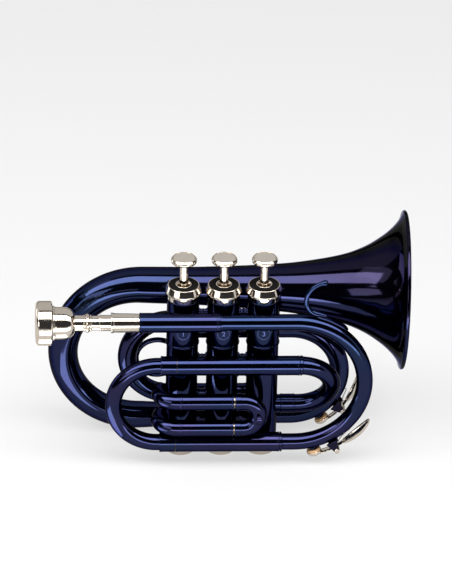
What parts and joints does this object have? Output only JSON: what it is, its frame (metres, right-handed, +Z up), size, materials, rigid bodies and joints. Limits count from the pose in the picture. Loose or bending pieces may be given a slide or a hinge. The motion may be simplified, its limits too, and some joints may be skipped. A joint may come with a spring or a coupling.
{
  "type": "pocket trumpet",
  "caption": "Compact coiled B flat trumpet with piston valves, pull slides, sprung water keys, finger ring, little-finger hook and a removable mouthpiece.",
  "frame": {"origin": "middle of the bounding box of the whole trumpet", "axes": "+X along the leadpipe from mouthpiece to bell, +Y from the leadpipe side to the bell side, +Z up along the valves"},
  "size_m": [0.2326, 0.1076, 0.1482],
  "materials": {
    "lacquer": "brass under a glossy tinted lacquer, deep navy with a violet sheen",
    "nickel": "nickel plate, polished",
    "felt": "dense black felt",
    "cork": "natural cork",
    "spring_steel": "drawn spring wire",
    "piston_metal": "lapped, satin"
  },
  "bodies": {
    "trumpet_body": {"valve_casing_1": "lacquer", "valve_casing_2": "lacquer", "valve_casing_3": "lacquer", "valve_knuckle_1_2": "lacquer", "valve_knuckle_2_3": "lacquer", "leadpipe": "lacquer", "leadpipe_bow": "lacquer", "tuning_sleeve_lower": "lacquer", "tuning_sleeve_upper": "lacquer", "inlet_crook": "lacquer", "first_slide_sleeve_upper": "lacquer", "first_slide_sleeve_lower": "lacquer", "second_slide_sleeve_upper": "lacquer", "second_slide_sleeve_lower": "lacquer", "third_slide_sleeve_upper": "lacquer", "third_slide_sleeve_lower": "lacquer", "branch_tube": "lacquer", "branch_bow": "lacquer", "bell_ferrule": "lacquer", "bell": "lacquer", "lead_key_saddle": "lacquer", "branch_key_saddle": "lacquer", "pinky_hook": "lacquer", "bottom_cap_1": "nickel", "bottom_cap_2": "nickel", "bottom_cap_3": "nickel", "top_cap_1": "nickel", "top_cap_2": "nickel", "top_cap_3": "nickel", "mouthpiece_receiver": "nickel", "lead_key_pin": "nickel", "branch_key_pin": "nickel", "top_felt_1": "felt", "top_felt_2": "felt", "top_felt_3": "felt", "valve_spring_1": "spring_steel", "valve_spring_2": "spring_steel", "valve_spring_3": "spring_steel", "lead_key_spring": "spring_steel", "branch_key_spring": "spring_steel"},
    "valve_1": {"piston_1": "piston_metal", "valve_stem_1": "nickel", "finger_button_1": "nickel"},
    "valve_2": {"piston_2": "piston_metal", "valve_stem_2": "nickel", "finger_button_2": "nickel"},
    "valve_3": {"piston_3": "piston_metal", "valve_stem_3": "nickel", "finger_button_3": "nickel"},
    "tuning_slide": {"tuning_slide": "lacquer"},
    "first_slide": {"first_slide": "lacquer"},
    "second_slide": {"second_slide": "lacquer"},
    "third_slide": {"third_slide": "lacquer", "finger_ring": "lacquer"},
    "mouthpiece": {"mouthpiece": "nickel"},
    "leadpipe_water_key": {"lead_key_lever": "nickel", "lead_key_cork": "cork"},
    "branch_water_key": {"branch_key_lever": "nickel", "branch_key_cork": "cork"}
  },
  "joints": [
    {"name": "valve_1_press", "type": "slide", "parent": "trumpet_body", "child": "valve_1", "axis": [0, 0, -1], "range_m": [0, 0.014], "stiffness_N_per_m": 120, "springref_m": -0.018, "deforming": ["valve_spring_1"]},
    {"name": "valve_2_press", "type": "slide", "parent": "trumpet_body", "child": "valve_2", "axis": [0, 0, -1], "range_m": [0, 0.014], "stiffness_N_per_m": 120, "springref_m": -0.018, "deforming": ["valve_spring_2"]},
    {"name": "valve_3_press", "type": "slide", "parent": "trumpet_body", "child": "valve_3", "axis": [0, 0, -1], "range_m": [0, 0.014], "stiffness_N_per_m": 120, "springref_m": -0.018, "deforming": ["valve_spring_3"]},
    {"name": "tuning_slide_pull", "type": "slide", "parent": "trumpet_body", "child": "tuning_slide", "axis": [-1, 0, 0], "range_m": [0, 0.03]},
    {"name": "first_slide_pull", "type": "slide", "parent": "trumpet_body", "child": "first_slide", "axis": [1, 0, 0], "range_m": [0, 0.02]},
    {"name": "second_slide_pull", "type": "slide", "parent": "trumpet_body", "child": "second_slide", "axis": [0, 1, 0], "range_m": [0, 0.01]},
    {"name": "third_slide_pull", "type": "slide", "parent": "trumpet_body", "child": "third_slide", "axis": [-1, 0, 0], "range_m": [0, 0.02]},
    {"name": "mouthpiece_pull", "type": "slide", "parent": "trumpet_body", "child": "mouthpiece", "axis": [-1, 0, 0], "range_m": [0, 0.022]},
    {"name": "leadpipe_water_key_open", "type": "hinge", "parent": "trumpet_body", "child": "leadpipe_water_key", "pos_m": [0.07233, -0.03985, -0.0627], "axis": [0, -1, 0], "range_deg": [0, 6.5], "stiffness_Nm_per_rad": 0.05, "springref_deg": -28.65},
    {"name": "branch_water_key_open", "type": "hinge", "parent": "trumpet_body", "child": "branch_water_key", "pos_m": [0.07825, 0.00395, -0.06024], "axis": [0, -1, 0], "range_deg": [0, 6.5], "stiffness_Nm_per_rad": 0.05, "springref_deg": -28.65}
  ]
}
